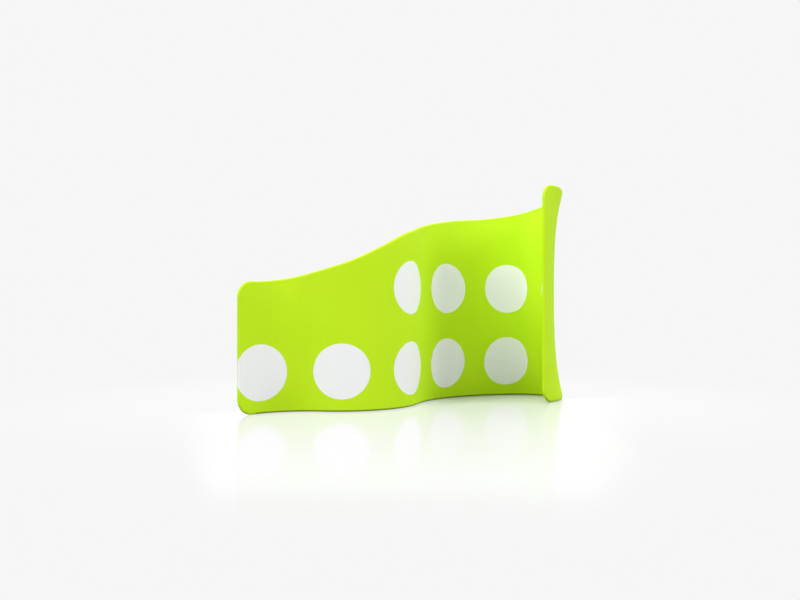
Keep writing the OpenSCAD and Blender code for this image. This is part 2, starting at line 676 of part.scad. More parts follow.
module zip_tape(upper) {
    low = upper ? chain_low + chain_w : zip_low;
    color("yellowgreen") zip_band(hem_start, hem_end, low, low + tape_w, tape_t);
}

module zip_chain() {
    past = stop_len + stop_gap;
    color("olivedrab") zip_band(hem_start + past, hem_end - past, chain_low, chain_low + chain_w, chain_t);
}

module zip_stops() {
    color("silver") for (s = [hem_start, hem_end - stop_len])
        zip_band(s, s + stop_len, chain_low, chain_low + chain_w, chain_t + stop_out);
}

// Slider over the chain, with a bridge bar for the pull; it runs round the hollow's centre
slider_s = hem_start + slider_from;
slider_mid = chain_low + chain_w / 2;
eye_in = bar_d / 2 + eye_gap;
eye_out = eye_in + eye_wall;
bar_out = zip_in + chain_t + run_gap + slider_wall + eye_out + run_gap;
module zip_slider() {
    back_q = zip_in + chain_t + run_gap;
    side_q = zip_in + tape_t + run_gap;
    half_w = chain_w / 2 + run_gap;
    lug_w = 1.2;
    bar_half = pull_w / 2 + run_gap;
    color("silver") {
        sweep(slider_s - slider_len / 2, slider_s + slider_len / 2) {
            translate([-back_q - slider_wall, slider_mid - half_w - slider_wall])
                square([slider_wall, 2 * (half_w + slider_wall)]);
            for (low = [slider_mid - half_w - slider_wall, slider_mid + half_w])
                translate([-back_q - slider_wall, low]) square([back_q + slider_wall - side_q, slider_wall]);
        }
        at(slider_s, slider_mid) {
            for (side = [-1, 1])
                translate([-bar_d, back_q + slider_wall / 2, side * (bar_half + lug_w / 2) - lug_w / 2])
                    cube([2 * bar_d, bar_out + bar_d - back_q - slider_wall / 2, lug_w]);
            translate([0, bar_out, -bar_half - lug_w / 2])
                cylinder(h = 2 * bar_half + lug_w, d = bar_d, $fn = round_fn);
        }
    }
}

// Pull tab: a round eye on the bridge bar and a tongue that narrows to a round end
module zip_pull() {
    color("silver") at(slider_s, slider_mid) translate([0, bar_out, 0])
        difference() {
            union() {
                translate([0, 0, -pull_w / 2]) cylinder(h = pull_w, r = eye_out, $fn = round_fn);
                translate([0, tongue_t / 2, 0]) rotate([90, 0, 0]) linear_extrude(tongue_t) {
                    translate([0, -pull_w / 2]) square([pull_len - pull_w / 2, pull_w]);
                    translate([pull_len - pull_w / 2, 0]) circle(d = pull_w, $fn = round_fn);
                }
            }
            translate([0, 0, -pull_w]) cylinder(h = 2 * pull_w, r = eye_in, $fn = round_fn);
            translate([pull_len - pull_w / 2, tongue_t, 0]) rotate([90, 0, 0])
                cylinder(h = 2 * tongue_t, d = pull_w / 2.5, $fn = round_fn);
        }
}

for (k = [1:5]) bottom_rail(k);
for (k = [1:5]) top_rail(k);
corner(false, false);  // corner_left_bottom
corner(false, true);  // corner_left_top
corner(true, false);  // corner_right_bottom
corner(true, true);  // corner_right_top
post(false, post_foot, post_head(0), [10, 12]);  // left_post
post(true, post_foot, right_joint_z, [14]);  // right_post_lower
post(true, right_joint_z, post_head(total), [16, 17]);  // right_post_upper
upright(0, upright_foot, upright_head(0));  // upright_1
upright(1, upright_foot, upright_joint_z);  // upright_2_lower
upright(1, upright_joint_z, upright_head(1));  // upright_2_upper
bottom_spigots();
top_spigots();
post_spigots();
spigot_rivets();
bottom_saddles();
top_saddles();
for (k = [1:button_count]) at_button(k) snap_button(button_tube(k), button_bore(k));
button_springs();
panel(1, rail_z + seam_gap);  // front_panel
panel(-1, tape_top - seam_lap);  // back_panel
bottom_hem();
zip_tape(true);  // zip_tape_upper
zip_tape(false);  // zip_tape_lower
zip_chain();
zip_stops();
zip_slider();
zip_pull();
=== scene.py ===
# Curved display backdrop: a stretch cover over a bent tube frame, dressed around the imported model
import functools
import json
import math

import bpy
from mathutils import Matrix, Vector


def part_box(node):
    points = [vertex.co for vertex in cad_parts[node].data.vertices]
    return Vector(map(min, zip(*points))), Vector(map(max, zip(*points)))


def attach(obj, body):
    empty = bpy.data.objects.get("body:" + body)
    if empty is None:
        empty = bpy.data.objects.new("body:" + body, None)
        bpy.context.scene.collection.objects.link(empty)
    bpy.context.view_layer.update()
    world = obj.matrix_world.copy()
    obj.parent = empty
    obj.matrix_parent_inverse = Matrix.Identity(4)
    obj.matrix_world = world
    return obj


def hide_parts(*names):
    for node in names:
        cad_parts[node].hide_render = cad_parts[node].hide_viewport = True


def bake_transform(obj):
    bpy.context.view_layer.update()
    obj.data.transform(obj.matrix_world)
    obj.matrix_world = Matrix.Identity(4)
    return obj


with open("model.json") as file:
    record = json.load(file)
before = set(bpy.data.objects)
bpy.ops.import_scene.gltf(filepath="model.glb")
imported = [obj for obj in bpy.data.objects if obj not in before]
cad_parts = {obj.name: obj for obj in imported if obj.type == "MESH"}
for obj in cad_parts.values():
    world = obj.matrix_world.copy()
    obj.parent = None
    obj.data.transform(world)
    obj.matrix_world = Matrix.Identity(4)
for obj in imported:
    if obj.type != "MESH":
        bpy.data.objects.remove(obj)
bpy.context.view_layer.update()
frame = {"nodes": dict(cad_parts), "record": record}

# The wall's plan: four tangent arcs between two straight ends, in metres and degrees
wall = {
    "heading": 44.5,  # of the left end, turned from +X
    "straight": 0.185,  # lengths of the two straight ends
    "straightRight": 0.215,
    "radii": (0.7, 0.8, 1.3, 0.4),
    "turns": (-55.5, 86.0, -72.0, -135.5),  # negative towards the viewer
    # heights of the top edge along the wall
    "crest": (1.273, 1.304, 1.391, 1.488, 1.627, 1.76, 1.835, 1.915, 1.979, 2.015, 2.078, 2.211, 2.325),
    "bend": 0.135,  # radius of the four corner bends
    "railHeight": 0.0177,  # of the lower tube's middle
    "uprightBack": 0.1,  # each upright stands this far before its rail joint
    # how far the stretched cloth draws in along the wall
    "drawIn": (0.0, 0.03, 0.0, 0.0, 0.04, 0.1, 0.11, 0.108, 0.0),
}


def along(h):  # the way that a heading points
    return math.cos(math.radians(h)), math.sin(math.radians(h))


def leftward(h):  # the way to its left, which is the wall's back
    return -math.sin(math.radians(h)), math.cos(math.radians(h))


def layOutArcs():
    # stations and headings where the arcs meet, the arcs' centres, and where the last one ends
    stations, headings, centres = [wall["straight"]], [wall["heading"]], []
    a = along(headings[0])
    begin = (a[0] * wall["straight"], a[1] * wall["straight"])
    for r, turn in zip(wall["radii"], wall["turns"]):
        side = math.copysign(1, turn)
        n = leftward(headings[-1])
        centres.append((begin[0] + side * r * n[0], begin[1] + side * r * n[1]))
        stations.append(stations[-1] + r * math.radians(abs(turn)))
        headings.append(headings[-1] + turn)
        n = leftward(headings[-1])
        begin = (centres[-1][0] - side * r * n[0], centres[-1][1] - side * r * n[1])
    return stations, headings, centres, begin


arcS, arcHeading, arcCentre, lastPoint = layOutArcs()
total = arcS[-1] + wall["straightRight"]


def arcAt(s):
    return next(k for k in range(len(arcCentre)) if s < arcS[k + 1])


def headingAt(s):
    if s <= arcS[0] or s >= arcS[-1]:
        return arcHeading[0] if s <= arcS[0] else arcHeading[-1]
    i = arcAt(s)
    turned = math.degrees((s - arcS[i]) / wall["radii"][i])
    return arcHeading[i] + math.copysign(turned, wall["turns"][i])


def rawPlan(s):  # the wall's middle line on the floor, from its left end
    if s <= arcS[0] or s >= arcS[-1]:
        a = along(headingAt(s))
        begin, step = ((0, 0), s) if s <= arcS[0] else (lastPoint, s - arcS[-1])
        return begin[0] + step * a[0], begin[1] + step * a[1]
    i, n = arcAt(s), leftward(headingAt(s))
    reach = math.copysign(wall["radii"][i], wall["turns"][i])
    return arcCentre[i][0] - reach * n[0], arcCentre[i][1] - reach * n[1]


# the plan is centred on the box round these points
surveySteps = 600
survey = [rawPlan(total * k / surveySteps) for k in range(surveySteps + 1)]
middle = [(min(p[a] for p in survey) + max(p[a] for p in survey)) / 2 for a in (0, 1)]


def smoothCurve(stations, values, s):
    # a smooth line through the values, level at both ends
    last = len(stations) - 1
    if s <= stations[0] or s >= stations[last]:
        return values[0] if s <= stations[0] else values[last]

    def slope(k):
        inner = 0 < k < last
        return (values[k + 1] - values[k - 1]) / (stations[k + 1] - stations[k - 1]) if inner else 0.0

    k = max(j for j in range(last) if stations[j] <= s)
    w = stations[k + 1] - stations[k]
    t = (s - stations[k]) / w
    u = 1 - t
    ends = values[k] * u * u * (1 + 2 * t) + values[k + 1] * t * t * (3 - 2 * t)
    return ends + w * t * u * (slope(k) * u - slope(k + 1) * t)


def partWay(i, share):
    return arcS[i] + (arcS[i + 1] - arcS[i]) * share


crestStations = [arcS[0], partWay(0, 0.5), *[partWay(i, k / 4) for i in (1, 2) for k in range(4)],
                 arcS[3], partWay(3, 0.5), arcS[4]]
drawStations = [0.0, partWay(0, 0.5), arcS[1] - wall["uprightBack"], arcS[2] - wall["uprightBack"],
                partWay(2, 0.5), arcS[3], partWay(3, 0.5), partWay(3, 0.75), total]

# The stretch cover: a printed front panel and a plain back panel sewn together at the rim, with a hem
# and a zip below
cover = {
    "radius": 0.0182,  # outside of the cloth round a tube
    "thick": 0.0006,
    "pitch": 0.012,  # grid spacing along the wall
    "rows": 60,
    "crowding": 0.35,  # how much closer the rows stand near the tubes
    "wrapSteps": 9,  # from the face of a tube to the seam
    "cornerSteps": 16,
    "footSteps": 9,  # fine columns where the panels' feet turn under
    "footPitch": 0.0014,
    "lift": 0.006,  # how softly the cloth leaves a tube
    "drawPower": 2.5,
    "drawnFrom": 0.004,  # the front panel draws in from this far above the lower tube's middle
    "seamFrom": 68,  # degrees round the tube where the seam line starts to sink
    "seamDip": 0.0012,  # the seam line sinks this far
    "seamGap": 0.00015,  # half the gap between the panels there
    "hemStart": 0.185,  # where the hem begins, along the wall
    "hemRamp": (-0.013, -0.002),  # the feet turn under along this stretch outside the hem's ends
    "hookWrap": 3 / 13,  # share of the hook where the cloth goes all the way round the lower tube
    "frontFoot": 6.0,  # degrees below the tube's widest line where the front panel ends
    "backFoot": 0.5,
    "zipTop": 0.0502,  # upper edge of the zip's upper tape
    "zipLap": 0.0015,  # the back panel laps this far over the zip's tape
}

hemEnd = partWay(3, 1 - cover["hookWrap"])


@functools.lru_cache(maxsize=None)
def column(s):  # place, backward direction, draw and top tube's height at a station
    x, y = rawPlan(s)
    draw = smoothCurve(drawStations, wall["drawIn"], s)
    return x - middle[0], y - middle[1], leftward(headingAt(s)), draw, railTop(s)


def railTop(s):
    return smoothCurve(crestStations, wall["crest"], s) - cover["radius"]


def railSlope(s):
    step = 0.001
    return math.atan2(railTop(s + step) - railTop(s - step), 2 * step)


def drawShare(d, height):  # share of its draw-in that the cloth has at d above the lower tube
    e = min(d, height - d)
    if e <= 0:
        return 0.0
    eased = math.sqrt(e * e + cover["lift"] ** 2) - cover["lift"]
    return 1 - (1 - 2 * eased / height) ** cover["drawPower"]


def clothPoint(s, z, out, low):  # out is how far it stands before the wall's middle
    x, y, n, draw, top = column(round(s, 6))
    q = out + draw * drawShare(z - low, top - low)
    return x - q * n[0], y - q * n[1], max(z, 0.0)


def cornerDrop(s):  # how far a corner bend has left its rail
    e = min(s, total - s)
    r = wall["bend"]
    return 0.0 if e >= r else r - math.sqrt(max(0.0, r * r - (r - e) ** 2))


def edgeOut(s, up):  # direction out of the frame along the unrolled wall
    e, r = min(s, total - s), wall["bend"]
    if e < r:
        c = (r - e) / r
        return math.copysign(c, s - total / 2), (1 if up else -1) * math.sqrt(1 - c * c)
    a = railSlope(s) if up else 0.0
    return (-math.sin(a), math.cos(a)) if up else (0.0, -1.0)


def smoothStep(a, b, x):
    t = min(1.0, max(0.0, (x - a) / (b - a)))
    return t * t * (3 - 2 * t)


def fromHemEdge(s):  # how far a station lies inside the hem's two ends
    return min(s - cover["hemStart"], hemEnd - s)


def evenSteps(first, last):
    n = round((last - first) / cover["pitch"])
    return [first + (last - first) * k / n for k in range(n + 1)]


def wallColumns():
    bends = [wall["bend"] * (1 - math.cos(math.radians(90 * k / cover["cornerSteps"])))
             for k in range(cover["cornerSteps"] + 1)]
    steep = [cover["footPitch"] * k for k in range(cover["footSteps"], 0, -1)]
    past = hemEnd + steep[0] + cover["pitch"]
    return (bends + [cover["hemStart"] - e for e in steep] + evenSteps(cover["hemStart"], hemEnd)
            + [hemEnd + e for e in reversed(steep)] + evenSteps(past, total - wall["bend"])[:-1]
            + [total - s for s in reversed(bends)])


def newObject(name, points, faces, smooth=True):
    mesh = bpy.data.meshes.new(name)
    mesh.from_pydata(points, [], faces)
    mesh.validate()
    mesh.update()
    if smooth:
        mesh.polygons.foreach_set("use_smooth", [True] * len(mesh.polygons))
    piece = bpy.data.objects.new(name, mesh)
    bpy.context.collection.objects.link(piece)
    return piece


def panel(name, face):
    # face is 1 for the front and -1 for the back; a grid makes the flat of the panel, and rings round
    # its edge carry the cloth over the tubes to the seam
    cols, m = wallColumns(), cover["rows"]
    n, r = len(cols) - 1, cover["radius"]
    low = wall["railHeight"] + cover["drawnFrom"] if face > 0 else cover["zipTop"]
    footHeight = cover["zipTop"] - cover["zipLap"]
    foot = cover["frontFoot"] if face > 0 else cover["backFoot"]

    def overHem(s):
        return smoothStep(*cover["hemRamp"], fromHemEdge(s))

    def level(i, j):
        s = cols[i]
        lift = 0.0 if face > 0 else (footHeight - wall["railHeight"]) * overHem(s)
        lo = wall["railHeight"] + cornerDrop(s) + lift
        hi = column(round(s, 6))[4] - cornerDrop(s)
        t = j / m
        t -= cover["crowding"] * math.sin(2 * math.pi * t) / (2 * math.pi)
        return lo + (hi - lo) * t

    points, places = [], []
    for i in range(n + 1):
        for j in range(m + 1):
            z = level(i, j)
            points.append(clothPoint(cols[i], z, face * r, low))
            places.append((cols[i], z))
    loop = ([(i, 0) for i in range(n + 1)] + [(n, j) for j in range(1, m + 1)]
            + [(i, m) for i in range(n - 1, -1, -1)] + [(0, j) for j in range(m - 1, 0, -1)])
    for k in range(1, cover["wrapSteps"] + 1):
        for i, j in loop:
            s, z = cols[i], level(i, j)
            full = 90.0
            if j == 0:
                d = edgeOut(s, False)
                full += (foot - full) * overHem(s)
            elif j == m:
                d = edgeOut(s, True)
            else:
                d = (-1.0, 0.0) if i == 0 else (1.0, 0.0)
            a = math.radians(full * k / cover["wrapSteps"])
            atSeam = smoothStep(cover["seamFrom"], 90, math.degrees(a))
            sunk = r - cover["seamDip"] * atSeam ** 3
            out = sunk * math.cos(a) + cover["seamGap"] * atSeam
            side = sunk * math.sin(a)
            points.append(clothPoint(s + side * d[0], z + side * d[1], face * out, low))
            places.append((s + r * a * d[0], z + r * a * d[1]))
    grid, ring = (n + 1) * (m + 1), len(loop)

    def cell(i, j):
        return i * (m + 1) + j

    def onRing(k, q):
        i, j = loop[q % ring]
        return cell(i, j) if k == 0 else grid + (k - 1) * ring + q % ring

    faces = [(cell(i, j), cell(i + 1, j), cell(i + 1, j + 1), cell(i, j + 1))
             for i in range(n) for j in range(m)]
    faces += [(onRing(k, q), onRing(k + 1, q), onRing(k + 1, q + 1), onRing(k, q + 1))
              for k in range(cover["wrapSteps"]) for q in range(ring)]
    if face < 0:
        faces = [tuple(reversed(f)) for f in faces]
    piece = newObject(name, points, faces)
    cut = piece.data.uv_layers.new(name="cut")  # places on the flat cloth, in metres
    index = [0] * len(piece.data.loops)
    piece.data.loops.foreach_get("vertex_index", index)
    cut.data.foreach_set("uv", [c for v in index for c in places[v]])
    thicken = piece.modifiers.new("clothThickness", "SOLIDIFY")
    thicken.thickness, thicken.offset = cover["thick"], -1
    return piece


def barFaces(base, rings, sides):
    # faces of a closed bar, whose points stand ring after ring from the point number base on
    faces = []
    for k in range(rings - 1):
        for j in range(sides):
            a, b = base + k * sides + j, base + k * sides + (j + 1) % sides
            faces.append((a, b, b + sides, a + sides))
    last = base + (rings - 1) * sides
    return faces + [tuple(range(base + sides - 1, base - 1, -1)), tuple(range(last, last + sides))]


# Hem: a folded strip under the bottom rail
hem = {
    "inner": 0.0166,
    "edge": 0.0174,  # outside at its two edges, under the panels
    "base": 0.0181,  # outside where it rests
    "under": 0.03,  # its two ends reach this far under the panels
    "steps": 16,
}


def makeHem():
    # section holds (out, z) pairs round the folded strip, out towards the front
    middleHeight, section = wall["railHeight"], []
    turns = [math.pi + math.pi * k / hem["steps"] for k in range(hem["steps"] + 1)]
    for a in turns:
        r = hem["edge"] + (hem["base"] - hem["edge"]) * abs(math.sin(a))
        section.append((-r * math.cos(a), max(0.0, middleHeight + r * math.sin(a))))
    for a in reversed(turns):
        section.append((-hem["inner"] * math.cos(a), middleHeight + hem["inner"] * math.sin(a)))
    stations = evenSteps(cover["hemStart"] - hem["under"], hemEnd + hem["under"])
    points = []
    for s in stations:
        x, y, n, _, _ = column(round(s, 6))
        points += [(x - q * n[0], y - q * n[1], z) for q, z in section]
    return newObject("bottomHem", points, barFaces(0, len(stations), len(section)))


# Lockstitch rows: one short capsule of thread for each stitch
thread = {
    "pitch": 0.0034,
    "length": 0.0025,
    "radius": 0.00022,
    "sides": 5,
    "swell": ((0, 0.35), (0.18, 1), (0.82, 1), (1, 0.35)),  # share of the length, share of the radius
    "proud": 0.4,  # its middle stands this share of its radius off the cloth
    "inset": 0.003,  # from the hem's ends
    "frontRise": 9,  # degrees from the front panel's foot up to its row
    "backRise": 0.0012,
    "tapeOut": 0.0169,  # outside of the lower tape, behind the wall's middle line
    "tapeHeight": 0.0215,  # of the row on it
}


def stitchRow(name, first, last, place):
    # place gives a point for a station, on the cloth's outside
    points, faces, q = [], [], thread["sides"]
    for k in range(int((last - first) / thread["pitch"])):
        s = first + k * thread["pitch"]
        a, b = place(s), place(s + thread["length"])
        d = [b[i] - a[i] for i in range(3)]
        length = math.hypot(*d)
        d = [c / length for c in d]
        side = (-d[1], d[0], 0.0)
        size = math.hypot(*side) or 1.0
        side = [c / size for c in side]
        up = (d[1] * side[2] - d[2] * side[1], d[2] * side[0] - d[0] * side[2],
              d[0] * side[1] - d[1] * side[0])
        base = len(points)
        for t, r in thread["swell"]:
            for j in range(q):
                w = 2 * math.pi * j / q
                u, v = thread["radius"] * r * math.cos(w), thread["radius"] * r * math.sin(w)
                points.append([a[i] + (b[i] - a[i]) * t + side[i] * u + up[i] * v for i in range(3)])
        faces += barFaces(base, len(thread["swell"]), q)
    return newObject(name, points, faces)


# Zip: coil teeth that mesh in two rows
zipChain = {
    "inset": 0.005,  # from the hem's ends
    "low": 0.0312,  # the chain's lower and upper edges
    "high": 0.0372,
    "clear": 0.0002,  # between the teeth and those two edges
    "mesh": 0.0008,  # each row reaches this far past the middle
    "base": 0.0163,  # the teeth's inside, behind the wall's middle line
    "out": 0.0185,  # their outside
    "round": 0.0006,  # of the teeth's outer edges
    "pitch": 0.0026,
    "tooth": 0.0009,  # its width along the zip
    "swell": ((0, 0.55), (0.14, 1), (0.86, 1), (1, 0.55)),  # share of the length, share of the width
}


def makeTeeth():
    points, faces = [], []
    z = zipChain
    first = cover["hemStart"] + z["inset"]
    count = int((hemEnd - z["inset"] - first) / z["pitch"])
    middle = (z["low"] + z["high"]) / 2
    lowRow = (z["low"] + z["clear"], middle + z["mesh"])
    highRow = (middle - z["mesh"], z["high"] - z["clear"])
    shoulder = z["out"] - z["round"]
    profile = ((z["base"], 1), (shoulder, 1), (z["out"], 0.5),
               (z["out"], -0.5), (shoulder, -1), (z["base"], -1))
    for k in range(2 * count):
        x, y, n, _, _ = column(round(first + (k + 0.5) * z["pitch"] / 2, 6))
        h = (n[1], -n[0])
        lo, hi = lowRow if k % 2 else highRow
        base = len(points)
        for t, swell in z["swell"]:
            for q, w in profile:
                deep = z["base"] + (q - z["base"]) * (0.5 + 0.5 * swell)
                side = w * z["tooth"] / 2 * swell
                points.append((x + deep * n[0] + side * h[0], y + deep * n[1] + side * h[1],
                               lo + (hi - lo) * t))
        faces += barFaces(base, len(z["swell"]), len(profile))
    return newObject("zipTeeth", points, faces, smooth=False)


# Leaf springs behind the snap buttons: folded strips of steel that close as their buttons go in
leaf = {
    "thick": 0.0005,
    "reach": 0.032,  # the corners of its solid lie within this far of its button
    "tipCorners": 8,
    "foldCorners": 2,
    "foldInset": 0.001,  # the fold's curve aims this far inside its outer edge
    "straight": 0.75,  # share of each leg before the fold begins
    "legSteps": 5,
    "foldSteps": 8,
    "seat": 0.0006,  # the two places between which it closes stand this far inside its ends
}


def leafCentreline(tip, top, bottom, fold, middle):
    # tip and fold are distances along the tube, and the others are heights
    ends = [(tip, top - leaf["thick"] / 2), (tip, bottom + leaf["thick"] / 2)]
    bend = (fold - leaf["foldInset"], middle)

    def between(a, b, t):
        return a[0] + (b[0] - a[0]) * t, a[1] + (b[1] - a[1]) * t

    starts = [between(e, bend, leaf["straight"]) for e in ends]
    steps = [k / leaf["legSteps"] for k in range(leaf["legSteps"])]
    upper = [between(ends[0], starts[0], t) for t in steps]
    lower = [between(ends[1], starts[1], t) for t in reversed(steps)]
    turns = [k / leaf["foldSteps"] for k in range(leaf["foldSteps"] + 1)]
    turn = [between(between(starts[0], bend, t), between(bend, starts[1], t), t) for t in turns]
    return upper + turn + lower


def leafSpring(press):
    # the spring behind one button, and the two places between which it closes
    low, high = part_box("snap_" + press["child"])
    button, up = (low + high) / 2, -Vector(press["axis"])
    corners = {tuple(round(c, 6) for c in v.co) for v in frame["nodes"]["button_springs"].data.vertices
               if (v.co - button).length < leaf["reach"]}
    hub = sum(map(Vector, corners), Vector((0, 0, 0))) / len(corners)
    backward = hub - button - up * (hub - button).dot(up)
    near = sorted((Vector(c) - hub for c in corners), key=lambda p: p.dot(backward))
    tips, folds = near[:leaf["tipCorners"]], near[-leaf["foldCorners"]:]
    back = sum(folds, Vector((0, 0, 0))) / len(folds) - sum(tips, Vector((0, 0, 0))) / len(tips)
    back = (back - up * back.dot(up)).normalized()
    side = up.cross(back)
    heights, runs, widths = ([p.dot(d) for p in near] for d in (up, back, side))
    top, bottom, half, fold = max(heights), min(heights), max(widths), max(runs)
    line = leafCentreline(min(runs), top, bottom, fold, heights[runs.index(fold)])
    points = []
    for k, (run, height) in enumerate(line):
        a, b = line[max(0, k - 1)], line[min(len(line) - 1, k + 1)]
        ahead = Vector((b[0] - a[0], b[1] - a[1])).normalized()
        for out, across in ((1, half), (1, -half), (-1, -half), (-1, half)):
            r = run - ahead[1] * out * leaf["thick"] / 2
            h = height + ahead[0] * out * leaf["thick"] / 2
            points.append(hub + back * r + up * h + side * across)
    number = press["child"].split("_")[1]
    piece = newObject("leafSpring" + number, points, barFaces(0, len(line), 4), smooth=False)
    return piece, hub + up * (bottom + leaf["seat"]), hub + up * (top - leaf["seat"])


def hexColour(code):  # an sRGB hex value as the linear colour that a node takes
    rgb = [int(code[i:i + 2], 16) / 255 for i in (1, 3, 5)]
    return tuple(c / 12.92 if c <= 0.04045 else ((c + 0.055) / 1.055) ** 2.4 for c in rgb) + (1.0,)


def addNode(tree, kind, settings=None, **inputs):
    # i0, i1 and so on name an input by its number; other names are the inputs' own, with _ for a space
    node = tree.nodes.new(kind)
    for key, value in (settings or {}).items():
        setattr(node, key, value)
    for key, value in inputs.items():
        socket = node.inputs[int(key[1:]) if key[1:].isdigit() else key.replace("_", " ")]
        if isinstance(value, bpy.types.Node):
            value = value.outputs[0]
        if isinstance(value, bpy.types.NodeSocket):
            tree.links.new(value, socket)
        else:
            socket.default_value = value
    return node


def newMaterial(name):
    material = bpy.data.materials.new(name)
    material.use_nodes = True
    material.node_tree.nodes.clear()
    return material, material.node_tree


# Stretch polyester: a warp knit of fine matt yarn, printed by heat transfer. The yarn scatters light
# softly and the loops stand in upright wales, so the cloth looks velvety and never shiny.
knit = {
    "green": "#BCE60A",
    "greenThin": "#C2EA1A",  # where the cloth is stretched and lets its white core through
    "white": "#F0F1F2",
    "wale": 0.004,  # real wales are about 0.5 mm apart; drawn coarser so that they show close up
    "course": 0.005,  # real courses are about 0.4 mm apart; drawn coarser for the same reason
    "relief": 0.00025,  # depth of the loops
    "reliefShown": 0.5,
    "courseShare": 0.5,  # of the relief, beside the wales
    "cloud": 1.7,  # patches of thinner cloth to the metre
    "streak": 0.035,  # bands of slightly tighter yarn
    "streakRuns": 1.2,  # how often a band changes to the metre upwards
    "streakSpan": (0.3, 0.7),  # the noise values that give the two tones
    "streakTones": (0.994, 1.006),
    "rough": 0.7,
    "roughSpread": 0.08,
    "specular": 0.2,
    "sheen": 0.03,
    "sheenRough": 0.4,
    "soil": 0.03,  # height of the dulled strip above the floor
    "soilTone": 0.9,
}

# Large dots of the print, one nearly square lattice over the unrolled wall
dots = {
    "first": 0.226,  # middle of the first column, along the wall
    "lowRow": 0.394,  # middle of the low row, above the floor
    "pitch": (0.83, 0.825),
    "wide": 0.562,
    "tall": 0.546,
    "highFrom": 1.47,  # the upper row starts past here
    "edge": 0.004,  # softness of the print's edge, as a share of the dot
}


def dotMask(tree, place, axes):
    px, pz = dots["pitch"]
    cell = addNode(tree, "ShaderNodeVectorMath", {"operation": "MULTIPLY_ADD"}, i0=place,
                   i1=(1 / px, 1 / pz, 0), i2=(0.5 - dots["first"] / px, 0.5 - dots["lowRow"] / pz, 0))
    part = addNode(tree, "ShaderNodeVectorMath", {"operation": "FRACTION"}, i0=cell)
    offCentre = addNode(tree, "ShaderNodeVectorMath", {"operation": "MULTIPLY_ADD"}, i0=part,
                        i1=(2 * px / dots["wide"], 2 * pz / dots["tall"], 0),
                        i2=(-px / dots["wide"], -pz / dots["tall"], 0))
    reach = addNode(tree, "ShaderNodeVectorMath", {"operation": "LENGTH"},
                    i0=offCentre).outputs["Value"]
    inside = addNode(tree, "ShaderNodeMapRange", i0=reach, i1=1 - dots["edge"], i2=1.0, i3=1.0, i4=0.0)
    # nothing is printed above the low row at the wall's low end, or above the second row anywhere
    upper = addNode(tree, "ShaderNodeMath", {"operation": "GREATER_THAN"}, i0=axes[1],
                    i1=dots["lowRow"] + 0.5 * pz)
    early = addNode(tree, "ShaderNodeMath", {"operation": "LESS_THAN"}, i0=axes[0], i1=dots["highFrom"])
    bare = addNode(tree, "ShaderNodeMath", {"operation": "MULTIPLY"}, i0=upper, i1=early)
    aboveBoth = addNode(tree, "ShaderNodeMath", {"operation": "GREATER_THAN"}, i0=axes[1],
                        i1=dots["lowRow"] + 1.5 * pz)
    blank = addNode(tree, "ShaderNodeMath", {"operation": "MAXIMUM"}, i0=bare, i1=aboveBoth)
    return addNode(tree, "ShaderNodeMath", {"operation": "SUBTRACT", "use_clamp": True}, i0=inside,
                   i1=blank)


